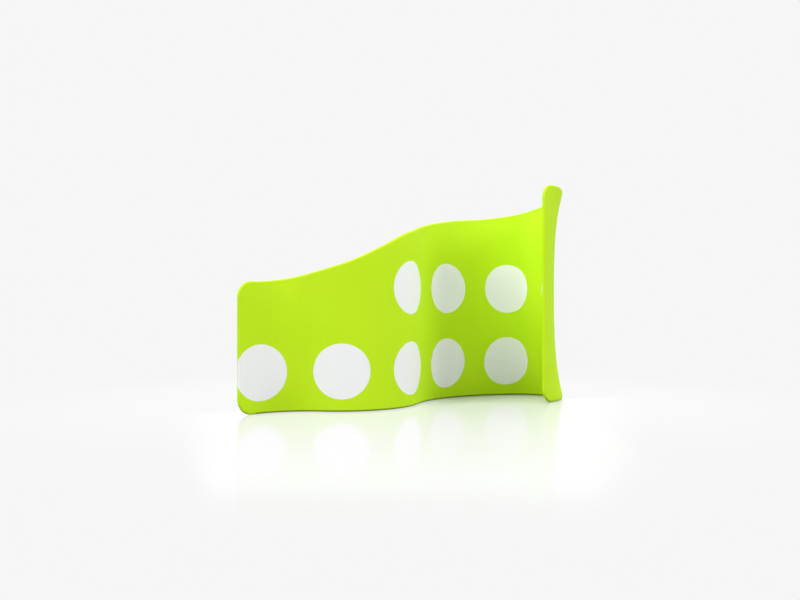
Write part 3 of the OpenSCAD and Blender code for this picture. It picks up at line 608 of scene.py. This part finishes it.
def knitMaterial(name, printed):
    material, tree = newMaterial(name)
    place = addNode(tree, "ShaderNodeUVMap", {"uv_map": "cut"})
    axes = addNode(tree, "ShaderNodeSeparateXYZ", Vector=place).outputs
    cloud = addNode(tree, "ShaderNodeTexNoise", {"noise_dimensions": "2D"}, Vector=place,
                    Scale=knit["cloud"], Detail=3.0)
    drawn = addNode(tree, "ShaderNodeMapping", Vector=place,
                    Scale=(1 / knit["streak"], knit["streakRuns"], 1.0))
    streaks = addNode(tree, "ShaderNodeTexNoise", {"noise_dimensions": "2D"}, Vector=drawn, Scale=1.0,
                      Detail=4.0)
    ink = addNode(tree, "ShaderNodeMix", {"data_type": "RGBA"}, i0=cloud, i6=hexColour(knit["green"]),
                  i7=hexColour(knit["greenThin"])).outputs[2]
    if printed:
        ink = addNode(tree, "ShaderNodeMix", {"data_type": "RGBA"}, i0=dotMask(tree, place, axes),
                      i6=ink, i7=hexColour(knit["white"])).outputs[2]
    tight = addNode(tree, "ShaderNodeMapRange", i0=streaks, i1=knit["streakSpan"][0],
                    i2=knit["streakSpan"][1], i3=knit["streakTones"][0], i4=knit["streakTones"][1])
    clean = addNode(tree, "ShaderNodeMapRange", i0=axes[1], i1=0.0, i2=knit["soil"],
                    i3=knit["soilTone"], i4=1.0)
    tone = addNode(tree, "ShaderNodeMath", {"operation": "MULTIPLY"}, i0=tight, i1=clean)
    grey = addNode(tree, "ShaderNodeCombineColor", i0=tone, i1=tone, i2=tone)
    colour = addNode(tree, "ShaderNodeMix", {"data_type": "RGBA", "blend_type": "MULTIPLY"}, i0=1.0,
                     i6=ink, i7=grey).outputs[2]
    # upright wales crossed by courses, which the wales shift up and down into loops
    across = addNode(tree, "ShaderNodeMath", {"operation": "MULTIPLY"}, i0=axes[0],
                     i1=2 * math.pi / knit["wale"])
    wale = addNode(tree, "ShaderNodeMath", {"operation": "SINE"}, i0=across)
    upward = addNode(tree, "ShaderNodeMath", {"operation": "MULTIPLY_ADD"}, i0=axes[1],
                     i1=2 * math.pi / knit["course"], i2=wale)
    course = addNode(tree, "ShaderNodeMath", {"operation": "SINE"}, i0=upward)
    ridge = addNode(tree, "ShaderNodeMath", {"operation": "ABSOLUTE"}, i0=wale)
    loops = addNode(tree, "ShaderNodeMath", {"operation": "MULTIPLY_ADD"}, i0=course,
                    i1=knit["courseShare"], i2=ridge)
    bump = addNode(tree, "ShaderNodeBump", Strength=knit["reliefShown"], Distance=knit["relief"],
                   Height=loops)
    matt = addNode(tree, "ShaderNodeMapRange", i0=streaks, i3=knit["rough"] - knit["roughSpread"],
                   i4=knit["rough"] + knit["roughSpread"])
    shader = addNode(tree, "ShaderNodeBsdfPrincipled", Base_Color=colour, Roughness=matt, Normal=bump,
                     Specular_IOR_Level=knit["specular"], Sheen_Weight=knit["sheen"],
                     Sheen_Roughness=knit["sheenRough"])
    addNode(tree, "ShaderNodeOutputMaterial", Surface=shader)
    return material


# Metal keeps the lines or crystals of its making: the eye sees a tinted mirror, blurred across them
metal = {
    "roughSpread": (-0.08, 0.1),  # the roughness of the lines' floors and crests, from the mean
    "relief": 0.00003,  # depth of the lines
    "reliefShown": 0.25,
}


def brushedMetal(name, colour, rough, grain, stretch):
    # grain is the spacing of the lines in metres, and stretch is how many times longer they are upright
    material, tree = newMaterial(name)
    place = addNode(tree, "ShaderNodeTexCoord").outputs["Object"]
    scaled = addNode(tree, "ShaderNodeMapping", Vector=place, Scale=(1 / stretch, 1 / stretch, 1.0))
    lines = addNode(tree, "ShaderNodeTexNoise", Vector=scaled, Scale=0.5 / grain, Detail=4.0)
    tone = addNode(tree, "ShaderNodeMapRange", i0=lines, i3=rough + metal["roughSpread"][0],
                   i4=rough + metal["roughSpread"][1])
    bump = addNode(tree, "ShaderNodeBump", Strength=metal["reliefShown"], Distance=metal["relief"],
                   Height=lines)
    shader = addNode(tree, "ShaderNodeBsdfPrincipled", Base_Color=hexColour(colour), Metallic=1.0,
                     Roughness=tone, Normal=bump)
    addNode(tree, "ShaderNodeOutputMaterial", Surface=shader)
    return material


# A moulded or spun polymer takes its mould's fine skin: the eye sees a full body colour under a soft
# pale highlight that the skin breaks up
plastic = {
    "roughSpread": 0.05,
    "relief": 0.00005,  # depth of the skin
    "reliefShown": 0.4,
}


def mouldedPlastic(name, colour, rough, grit):
    # grit is the size of the skin's grains in metres
    material, tree = newMaterial(name)
    place = addNode(tree, "ShaderNodeTexCoord").outputs["Object"]
    skin = addNode(tree, "ShaderNodeTexNoise", Vector=place, Scale=1 / grit, Detail=3.0)
    bump = addNode(tree, "ShaderNodeBump", Strength=plastic["reliefShown"], Distance=plastic["relief"],
                   Height=skin)
    tone = addNode(tree, "ShaderNodeMapRange", i0=skin, i3=rough - plastic["roughSpread"],
                   i4=rough + plastic["roughSpread"])
    shader = addNode(tree, "ShaderNodeBsdfPrincipled", Base_Color=hexColour(colour), Roughness=tone,
                     Normal=bump, IOR=1.5)
    addNode(tree, "ShaderNodeOutputMaterial", Surface=shader)
    return material


# A tight polyester weave: matt like the knit but firmer, and the eye sees level ribs that catch light
# on one side, with single yarns a little lighter or darker
weave = {
    "rib": 0.0012,  # real ribs are about 0.6 mm apart; drawn coarser so that they show close up
    "yarn": 0.0011,  # real yarns are about 0.3 mm thick; drawn coarser for the same reason
    "relief": 0.0001,
    "reliefShown": 0.5,
    "ribShare": 0.5,  # of the relief, beside the yarns
    "tones": (0.93, 1.05),
    "rough": 0.8,
    "specular": 0.3,
}


def wovenTape(name, colour):
    material, tree = newMaterial(name)
    place = addNode(tree, "ShaderNodeTexCoord").outputs["Object"]
    axes = addNode(tree, "ShaderNodeSeparateXYZ", Vector=place).outputs
    turns = addNode(tree, "ShaderNodeMath", {"operation": "MULTIPLY"}, i0=axes[2],
                    i1=2 * math.pi / weave["rib"])
    rib = addNode(tree, "ShaderNodeMath", {"operation": "SINE"}, i0=turns)
    cross = addNode(tree, "ShaderNodeTexNoise", Vector=place, Scale=1 / weave["yarn"], Detail=2.0)
    ribs = addNode(tree, "ShaderNodeMath", {"operation": "MULTIPLY_ADD"}, i0=rib,
                   i1=weave["ribShare"], i2=cross)
    bump = addNode(tree, "ShaderNodeBump", Strength=weave["reliefShown"], Distance=weave["relief"],
                   Height=ribs)
    tone = addNode(tree, "ShaderNodeMapRange", i0=cross, i3=weave["tones"][0], i4=weave["tones"][1])
    tint = addNode(tree, "ShaderNodeCombineColor", i0=tone, i1=tone, i2=tone)
    base = addNode(tree, "ShaderNodeMix", {"data_type": "RGBA", "blend_type": "MULTIPLY"}, i0=1.0,
                   i6=hexColour(colour), i7=tint).outputs[2]
    shader = addNode(tree, "ShaderNodeBsdfPrincipled", Base_Color=base, Roughness=weave["rough"],
                     Normal=bump, Specular_IOR_Level=weave["specular"])
    addNode(tree, "ShaderNodeOutputMaterial", Surface=shader)
    return material


printedKnit = knitMaterial("printedStretchKnit", True)
plainKnit = knitMaterial("plainStretchKnit", False)
tape = wovenTape("wovenZipTape", "#A6D21C")
# the same weave folded twice, darker as painted shade near the floor
hemClothPaintedShade = wovenTape("foldedHemCloth", "#86A914")
# spun thread: a soft glint on each stitch
threadMaterial = mouldedPlastic("polyesterThread", "#9CCB1B", 0.55, 0.0004)
# nylon monofilament, dyed with the cloth and slightly waxy
coilNylon = mouldedPlastic("nylonCoil", "#A3CE1E", 0.35, 0.0006)
# tube with draw lines some 0.2 mm apart under a satin anodised coat; the lines are drawn coarser
tubeMetal = brushedMetal("anodisedAluminiumTube", "#C9CBCC", 0.38, 0.0008, 12)
# the same metal without the coat, a little darker and brighter at the highlight
spigotMetal = brushedMetal("drawnAluminiumSpigot", "#B9BBBD", 0.3, 0.0006, 12)
# zinc plating: a cool grey with crystals of about 0.3 mm, drawn coarser
zincSteel = brushedMetal("zincPlatedSteel", "#B4B6B4", 0.34, 0.0012, 1)
# rolled and tempered strip, darker from its heat
springSteel = brushedMetal("temperedSpringSteel", "#8F9092", 0.28, 0.0006, 4)
# a die casting under nickel, warm, bright and smooth
nickel = brushedMetal("nickelPlatedZinc", "#C6C3BC", 0.24, 0.001, 1)
# black moulding whose skin shows the glass as a fine matt grit of some 0.3 mm, drawn coarser
saddlePlastic = mouldedPlastic("glassFilledNylon", "#232427", 0.5, 0.0009)
print("materials made")

frontPanel = panel("frontPanel", 1)
backPanel = panel("backPanel", -1)
print("panels made", len(frontPanel.data.vertices), "points each")
bottomHem = makeHem()
teeth = makeTeeth()
print("hem and zip made")


def frontStitch(s):
    x, y, n, _, _ = column(round(s, 6))
    a = math.radians(cover["frontFoot"] - thread["frontRise"])
    r = cover["radius"] + thread["radius"] * thread["proud"]
    return x - r * math.cos(a) * n[0], y - r * math.cos(a) * n[1], wall["railHeight"] - r * math.sin(a)


def backStitch(s):
    x, y, n, _, _ = column(round(s, 6))
    r = cover["radius"] + thread["radius"] * thread["proud"]
    return x + r * n[0], y + r * n[1], cover["zipTop"] + thread["backRise"]


def tapeStitch(s):
    x, y, n, _, _ = column(round(s, 6))
    r = thread["tapeOut"] + thread["radius"] * thread["proud"]
    return x + r * n[0], y + r * n[1], thread["tapeHeight"]


stitchEnds = (cover["hemStart"] + thread["inset"], hemEnd - thread["inset"])
stitches = [stitchRow("frontFootStitch", *stitchEnds, frontStitch),
            stitchRow("backFootStitch", *stitchEnds, backStitch),
            stitchRow("tapeStitch", *stitchEnds, tapeStitch)]
print("stitches made")

for piece, material, slot in [(frontPanel, printedKnit, "cover_fabric"),
                              (backPanel, plainKnit, "cover_fabric"),
                              (bottomHem, hemClothPaintedShade, "hem_binding"), (teeth, coilNylon, "zip_teeth"),
                              *[(row, threadMaterial, "hem_binding") for row in stitches]]:
    piece.data.materials.append(material)
    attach(piece, "frame")
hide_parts("front_panel")
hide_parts("back_panel")
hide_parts("bottom_hem")
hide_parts("zip_chain")

for press in frame["record"]["behaviour"]["joints"]:
    if press["name"].endswith("_press"):
        spring, fixedEnd, pushedEnd = leafSpring(press)
        spring.data.materials.append(springSteel)
        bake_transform(spring)
        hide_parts("button_springs")
print("springs made")

# the solids keep their shapes, and each takes its slot's material
slotMaterials = {"frame_tube": tubeMetal, "spigot": spigotMetal, "saddle": saddlePlastic,
                 "hardware": zincSteel, "spring_steel": springSteel, "zip_tape": tape,
                 "zip_metal": nickel, "cover_fabric": plainKnit, "hem_binding": hemClothPaintedShade,
                 "zip_teeth": coilNylon}
nodeSlot = {sub["node"]: sub["material_slot"] for sub in frame["record"]["subparts"]}
for name, obj in frame["nodes"].items():
    for holder in obj.material_slots:
        holder.material = slotMaterials[nodeSlot[name]]
    if not obj.material_slots:
        obj.data.materials.append(slotMaterials[nodeSlot[name]])

# Flat cuts of the cloth: the unrolled wall with its wraps, less what the climbing top leaves out
wrap = math.pi * cover["radius"] / 2
samples = 400
heights = [railTop(total * (k + 0.5) / samples) - wall["railHeight"] for k in range(samples)]
edgeArea = wrap * (2 * total + railTop(0) + railTop(total))

# Studio: a pale glossy floor with a bright pool before the wall, soft light and the photograph's camera
studio = {
    "backdrop": "#F6F6F6",
    "floor": 0.565,  # what the lit floor sends back beside the wall, and in the pool
    # the pool is painted light: the lit floor is paler there, and its glow white
    "pool": 0.595,
    "paintedPoolGlow": "#FFFFFF",
    "bounce": "#8C8C8C",  # what the floor sends up to the cloth
    "gloss": (0.31, 0.05),  # its mirror share at the wall's foot and at the pool's front
    "floorRough": 0.12,
    "mirror": 1.13,  # makes up for what so rough a mirror loses at this low angle
    "glow": 0.95,  # how far the floor outside the niche lights itself
    "world": 0.945,  # strength of the light from all round
    "worldLight": "#FFFFFF",
    "size": 60.0,  # of the floor
    "cameraHeight": 1.0912,
    "cameraX": -0.1296,
    "cameraY": -9.1418,
    "lens": 39.25,
    "sensor": 36,
    "sight": 200,  # how far the camera sees
    # name: the direction that the light comes from, its softness in degrees and its strength
    "lamps": {
        "leftWindow": ((-5.8, -4.0, 3.8), 20, 0.767),
        "highLeft": ((-4.0, -4.0, 5.0), 20, 0.585),
        "top": ((-0.3, 0.5, 5.8), 20, 1.106),
        "right": ((5.7, -1.0, 3.3), 20, 0.909),
    },
    # the lamp that hangs before the niche: its place, what it points at, its width and its power
    "hanging": ((0.6, -1.8, 3.6), (0.7, 0.0, 1.9), 1.0, 9.8),
}

# The painted pool of light: it widens away from the front, and its back edge runs along the wall's foot
paintedLightPool = {
    "spreadsFrom": (-0.13, -9.14),
    "left": (-0.262, -0.2),  # each pair runs from outside the pool to its full light
    "right": (0.284, 0.205),
    "backSlope": -0.32,
    "back": (0.1, -0.25),
    "front": (-5.3, -3.6),
    "nicheLeft": (0.6, -0.1),  # and these two from the niche's shade to the glow outside it
    "nicheRight": (1.45, 1.7),
    "glossAt": (-0.6, -3.7),  # where the two mirror shares hold
    "farFade": (2.2, 5.0),  # where the floor melts into the backdrop
}


def makeFloor():
    half = studio["size"] / 2
    floor = newObject("floor", [(-half, -half, 0), (half, -half, 0), (half, half, 0), (-half, half, 0)],
                      [(0, 1, 2, 3)], smooth=False)
    material, tree = newMaterial("glossyFloor")
    soft = {"interpolation_type": "SMOOTHSTEP"}
    p = paintedLightPool
    place = addNode(tree, "ShaderNodeTexCoord").outputs["Object"]
    axes = addNode(tree, "ShaderNodeSeparateXYZ", Vector=place).outputs
    depth = addNode(tree, "ShaderNodeMath", {"operation": "ADD"}, i0=axes[1], i1=-p["spreadsFrom"][1])
    across = addNode(tree, "ShaderNodeMath", {"operation": "ADD"}, i0=axes[0], i1=-p["spreadsFrom"][0])
    fan = addNode(tree, "ShaderNodeMath", {"operation": "DIVIDE"}, i0=across, i1=depth)
    left = addNode(tree, "ShaderNodeMapRange", soft, i0=fan, i1=p["left"][0], i2=p["left"][1])
    right = addNode(tree, "ShaderNodeMapRange", soft, i0=fan, i1=p["right"][0], i2=p["right"][1])
    edge = addNode(tree, "ShaderNodeMath", {"operation": "MULTIPLY_ADD"}, i0=axes[0], i1=p["backSlope"],
                   i2=axes[1])
    back = addNode(tree, "ShaderNodeMapRange", soft, i0=edge, i1=p["back"][0], i2=p["back"][1])
    front = addNode(tree, "ShaderNodeMapRange", soft, i0=axes[1], i1=p["front"][0], i2=p["front"][1])
    wide = addNode(tree, "ShaderNodeMath", {"operation": "MULTIPLY"}, i0=left, i1=right)
    deep = addNode(tree, "ShaderNodeMath", {"operation": "MULTIPLY"}, i0=back, i1=front)
    inPaintedPool = addNode(tree, "ShaderNodeMath", {"operation": "MULTIPLY"}, i0=wide, i1=deep)
    # painted pool of light: the lit floor is paler inside the pool
    level = addNode(tree, "ShaderNodeMapRange", i0=inPaintedPool, i3=studio["floor"], i4=studio["pool"])
    tone = addNode(tree, "ShaderNodeCombineColor", i0=level, i1=level, i2=level)
    lit = addNode(tree, "ShaderNodeBsdfDiffuse", Color=tone)
    # only the niche's floor keeps its full shade, and elsewhere the floor glows mostly by itself
    fromLeft = addNode(tree, "ShaderNodeMapRange", soft, i0=axes[0], i1=p["nicheLeft"][0],
                       i2=p["nicheLeft"][1], i4=studio["glow"])
    fromRight = addNode(tree, "ShaderNodeMapRange", soft, i0=axes[0], i1=p["nicheRight"][0],
                        i2=p["nicheRight"][1], i4=studio["glow"])
    unshaded = addNode(tree, "ShaderNodeMath", {"operation": "ADD"}, i0=fromLeft, i1=fromRight)
    # painted pool of light: the floor's glow is white inside the pool instead of the backdrop's grey
    glowTone = addNode(tree, "ShaderNodeMix", {"data_type": "RGBA"}, i0=inPaintedPool,
                       i6=hexColour(studio["backdrop"]), i7=hexColour(studio["paintedPoolGlow"])).outputs[2]
    glow = addNode(tree, "ShaderNodeEmission", Color=glowTone, Strength=1.0)
    ground = addNode(tree, "ShaderNodeMixShader", i0=unshaded, i1=lit, i2=glow)
    mirror = addNode(tree, "ShaderNodeBsdfGlossy", Color=(studio["mirror"],) * 3 + (1.0,),
                     Roughness=studio["floorRough"])
    share = addNode(tree, "ShaderNodeMapRange", i0=axes[1], i1=p["glossAt"][0], i2=p["glossAt"][1],
                    i3=studio["gloss"][0], i4=studio["gloss"][1])
    near = addNode(tree, "ShaderNodeMixShader", i0=share, i1=ground, i2=mirror)
    far = addNode(tree, "ShaderNodeEmission", Color=hexColour(studio["backdrop"]), Strength=1.0)
    reach = addNode(tree, "ShaderNodeVectorMath", {"operation": "LENGTH"}, i0=place).outputs["Value"]
    fade = addNode(tree, "ShaderNodeMapRange", soft, i0=reach, i1=p["farFade"][0], i2=p["farFade"][1])
    apart = addNode(tree, "ShaderNodeMath", {"operation": "SUBTRACT", "use_clamp": True}, i0=fade,
                    i1=inPaintedPool)
    shown = addNode(tree, "ShaderNodeMixShader", i0=apart, i1=near, i2=far)
    # the cloth gets light from a plain dull floor, and only the eye and the mirror see all this
    dull = addNode(tree, "ShaderNodeBsdfDiffuse", Color=hexColour(studio["bounce"]))
    ray = addNode(tree, "ShaderNodeLightPath").outputs
    seen = addNode(tree, "ShaderNodeMath", {"operation": "MAXIMUM"}, i0=ray["Is Camera Ray"],
                   i1=ray["Is Glossy Ray"])
    shader = addNode(tree, "ShaderNodeMixShader", i0=seen, i1=dull, i2=shown)
    addNode(tree, "ShaderNodeOutputMaterial", Surface=shader)
    floor.data.materials.append(material)


def makeWorld():
    world = bpy.data.worlds.new("softStudio")
    bpy.context.scene.world = world
    world.use_nodes = True
    tree = world.node_tree
    tree.nodes.clear()
    ray = addNode(tree, "ShaderNodeLightPath").outputs
    direct = addNode(tree, "ShaderNodeMath", {"operation": "MAXIMUM"}, i0=ray["Is Camera Ray"],
                     i1=ray["Is Glossy Ray"])
    seen = addNode(tree, "ShaderNodeMath", {"operation": "MAXIMUM"}, i0=direct,
                   i1=ray["Is Transmission Ray"])
    light = addNode(tree, "ShaderNodeBackground", Color=hexColour(studio["worldLight"]),
                    Strength=studio["world"])
    shown = addNode(tree, "ShaderNodeBackground", Color=hexColour(studio["backdrop"]), Strength=1.0)
    mixed = addNode(tree, "ShaderNodeMixShader", i0=seen, i1=light, i2=shown)
    addNode(tree, "ShaderNodeOutputWorld", Surface=mixed)


def softLight(name, source, softness, strength):
    lamp = bpy.data.lights.new(name, "SUN")
    lamp.energy, lamp.angle = strength, math.radians(softness)
    holder = bpy.data.objects.new(name, lamp)
    holder.rotation_euler = (math.atan2(math.hypot(source[0], source[1]), source[2]), 0,
                             math.atan2(source[1], source[0]) + math.pi / 2)
    bpy.context.collection.objects.link(holder)


def hangingLight(name, place, aim, width, power):
    lamp = bpy.data.lights.new(name, "AREA")
    lamp.shape, lamp.size, lamp.energy = "DISK", width, power
    holder = bpy.data.objects.new(name, lamp)
    holder.location = place
    holder.rotation_euler = (Vector(aim) - Vector(place)).to_track_quat("-Z", "Y").to_euler()
    bpy.context.collection.objects.link(holder)


makeFloor()
makeWorld()
hangingLight("hanging", *studio["hanging"])
for name, (source, softness, strength) in studio["lamps"].items():
    softLight(name, source, softness, strength)

camera = bpy.data.objects.new("camera", bpy.data.cameras.new("camera"))
camera.location = (studio["cameraX"], studio["cameraY"], studio["cameraHeight"])
camera.rotation_euler = (math.pi / 2, 0, 0)
camera.data.lens = studio["lens"]
camera.data.sensor_width = studio["sensor"]
camera.data.clip_end = studio["sight"]
bpy.context.collection.objects.link(camera)
bpy.context.scene.camera = camera
bpy.context.scene.view_settings.view_transform = "Standard"
print("studio made")
